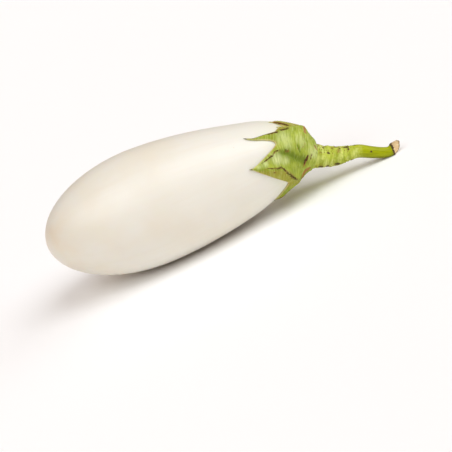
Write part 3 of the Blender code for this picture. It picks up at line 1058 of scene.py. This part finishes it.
woodShape = {
    "hollow": 0.0019,  # how far the strip's middle bows to the far side
    "curl": 0.0010,  # how far its rim comes back to the near side
    "rootThickness": 0.0009, "rimThickness": 0.00045,
    "splitHeight": 0.00010, "acrossSteps": 22, "stationSteps": 8,
    "plugSides": 60,
}
# The strip of wood that tore off, from its low edge to its top point, in millimetres: along and up
# for the root inside the bark, then along and up for the rim
stripStations = (
    (39.6, -15.6, 40.8, -16), (39.8, -15.3, 42.8, -15.5), (40, -14.4, 44.5, -14.7),
    (40.2, -13.1, 45.6, -13.4), (40.4, -11.9, 46.1, -11.9), (40.6, -10.9, 46.2, -10.4),
    (40.9, -10.2, 45.7, -9.3), (41.3, -9.8, 44.9, -8.6),
)
# The pith inside the bark's end, as the stalk's stations
plugStations = (
    (39.2, -13.3, -1.3, 2.2, 2.1), (41, -12.9, -1.3, 2.4, 2.1), (41.7, -12.7, -1.3, 2.1, 1.8),
    (42.1, -12.6, -1.3, 1.1, 0.9),
)


def woodMaterial():
    material, tree, shader = newMaterial("torn_wood", 0.2, Roughness=0.7)
    look = stalkLook
    fibre = grainNoise(stretched(grainMark(tree), 1.0, 9.0, 9.0), 1.0, 4.0, 0.6)
    feed(shader, {
        "Base Color": layered(look, paint(look["cream"]), (
            ("wood", between(fibre, 0.38, 0.66)),
            ("rim", between(mark(tree, "edge") + fibre * 0.4, 0.75, 1.1) * 0.8),
        )),
        "Normal": bump(fibre + grainNoise(objectPlace(tree), 1500.0, 2.0) * 0.4, 0.0003, 0.8),
    })
    return material


def makeStrip(material):
    # a thin strip, hollow like a fingernail; each ring runs out over its near face and back over
    # its far face
    w = woodShape
    path = smoothPath(stripStations, w["stationSteps"]) * millimetre
    out = np.linspace(0, 1, w["acrossSteps"])
    share, level = np.meshgrid(np.concatenate([out, out[::-1]]), np.linspace(-1, 1, len(path)))
    isFar = np.broadcast_to(np.repeat([0.0, 1.0], len(out)), share.shape)
    rootAlong, rootRise, rimAlong, rimRise = path.T[:, :, None]
    split = noiseField(level * 3.0, share * 1.2, isFar * 0.4, 21)
    thick = w["rootThickness"] + (w["rimThickness"] - w["rootThickness"]) * share
    thick = thick * (0.45 + 0.55 * np.sqrt(1 - 0.97 * level**2))
    bow = w["hollow"] * np.sqrt(1 - 0.9 * level**2) - w["curl"] * share**2
    across = stations[-1][2] * millimetre + bow + thick * (isFar - 0.5) + w["splitHeight"] * split
    along = rootAlong + (rimAlong - rootAlong) * share + 0.0005 * split * share**2
    rise = rootRise + (rimRise - rootRise) * share + 0.00015 * split * share
    rings = stalkSeat()[0] + np.stack([along, across, rise], -1)
    edge = np.maximum(smoothStep((share - 0.72) / 0.28), np.abs(level) ** 5)
    marks = {"grain": np.stack([share * 1.5, level, isFar], -1), "edge": np.maximum(edge, isFar * 0.5)}
    ends = lieDown(np.stack([rings[0].mean(axis=0), rings[-1].mean(axis=0)]))
    return standFor("stalk", "torn_strip", ringMesh(lieDown(rings), *ends, marks), material)


def makePlug(material):
    # the pith that shows inside the bark's end
    w = woodShape
    path = smoothPath(plugStations, w["stationSteps"]) * millimetre
    angle = ringAngles(path, w["plugSides"])
    share = np.broadcast_to(np.linspace(0, 1, len(path))[:, None], angle.shape)
    split = ringNoise(angle, 5, share * 1.5, 22)
    slide = 0.0003 * split * smoothStep((share - 0.5) / 0.5)
    rings = tubeRings(path, angle, w["splitHeight"] * split, slide)
    marks = {
        "grain": np.stack([share, np.cos(angle), np.sin(angle)], -1),
        "edge": 0.5 * smoothStep((0.8 - share) / 0.4),
    }
    ends = lieDown(np.stack([tubeFrames(path)[0][0], rings[-1].mean(axis=0)]))
    return standFor("stalk", "torn_pith", ringMesh(lieDown(rings), *ends, marks), material)


bark = makeBark()
tornWood = woodMaterial()
strip = makeStrip(tornWood)
makePlug(tornWood)
print("stalk made:", len(bark.data.polygons), "faces of bark")


# What grows where a mark is strong. The first five are the tree's own inputs.
bristles = {
    "calyx_hairs": {
        "Density": 500000.0, "Length": 0.0006, "Width": 0.00006, "Lean": 0.35, "Seed": 4,
        "mark": "ridge", "shape": "hair", "towards": -1.0, "look": ("dry_hair", (176, 160, 96), 0.6)},
    "bark_warts": {
        "Density": 600000.0, "Length": 0.00014, "Width": 0.00026, "Lean": 0.0, "Seed": 9,
        "mark": "rough", "shape": "wart", "towards": 1.0, "look": ("corky_wart", (138, 118, 46), 0.7)},
    "wood_fibres": {
        "Density": 400000.0, "Length": 0.00035, "Width": 0.00006, "Lean": 0.8, "Seed": 2,
        "mark": "edge", "shape": "hair", "towards": 1.0, "look": ("wood_fibre", (226, 196, 142), 0.7)},
}


def bristleTree(name, shape, strongest, inputs):
    # small points scattered over the skin, most where the mark is strong; each one leans a little
    tree, given, finishTree = newTree(name, inputs)
    strength = addNode(tree, "GeometryNodeInputNamedAttribute", {"Name": strongest}, data_type="FLOAT")[0]
    amount = given["Density"] * between(strength, 0.25, 0.75)
    values = {"Mesh": given["Geometry"], "Density": amount, "Seed": given["Seed"]}
    points, normal = addNode(tree, "GeometryNodeDistributePointsOnFaces", values)[:2]
    if shape == "hair":
        values = {"Vertices": 5, "Radius Top": 0.0, "Radius Bottom": 1.0, "Depth": 1.0}
        unit = addNode(tree, "GeometryNodeMeshCone", values)[0]
    else:
        unit = addNode(tree, "GeometryNodeMeshIcoSphere", {"Radius": 1.0, "Subdivisions": 2})[0]
    pull = vectorCalc("SCALE", {0: given["Along"], 3: given["Lean"]})
    values = {"Min": (-0.3, -0.3, -0.3), "Max": (0.3, 0.3, 0.3), "Seed": given["Seed"]}
    wander = addNode(tree, "FunctionNodeRandomValue", values, data_type="FLOAT_VECTOR")[0]
    aim = vectorCalc("ADD", {0: vectorCalc("ADD", {0: normal, 1: pull}), 1: wander})
    turn = addNode(tree, "FunctionNodeAlignRotationToVector", {"Vector": aim}, axis="Z")[0]
    values = {2: 0.5, 3: 1.2, "Seed": given["Seed"] + 5}
    size = addNode(tree, "FunctionNodeRandomValue", values, data_type="FLOAT")[1]
    wide = given["Width"] * size
    scale = joined(wide, wide, given["Length"] * size)
    values = {"Points": points, "Instance": unit, "Rotation": turn, "Scale": scale}
    grown = addNode(tree, "GeometryNodeInstanceOnPoints", values)[0]
    finishTree(keptAbove(worked(grown, "RealizeInstances")))
    return tree


def plainMaterial(name, color, roughness):
    material, tree, shader = newMaterial(name, 0.2, Roughness=roughness)
    cloud = grainNoise(objectPlace(tree), 500.0, 3.0)
    darker = [part * 0.7 for part in color]
    feed(shader, {"Base Color": tint(paint(color), paint(darker), cloud * 0.5)})
    return material


def growBristles(name, source, node):
    b = bristles[name]
    inputs = {key: b[key] for key in ("Density", "Length", "Width", "Lean", "Seed")}
    inputs["Along"] = tuple(lyingTurn @ np.array([b["towards"], 0.0, 0.0]))
    inputs["Material"] = plainMaterial(*b["look"])
    tree = bristleTree(name, b["shape"], b["mark"], inputs)
    standFor(node, name, growMesh(name, source.data, tree, inputs))


growBristles("calyx_hairs", calyx, "calyx")
growBristles("bark_warts", bark, "stalk")
growBristles("wood_fibres", strip, "stalk")
print("hairs, warts and fibres made")
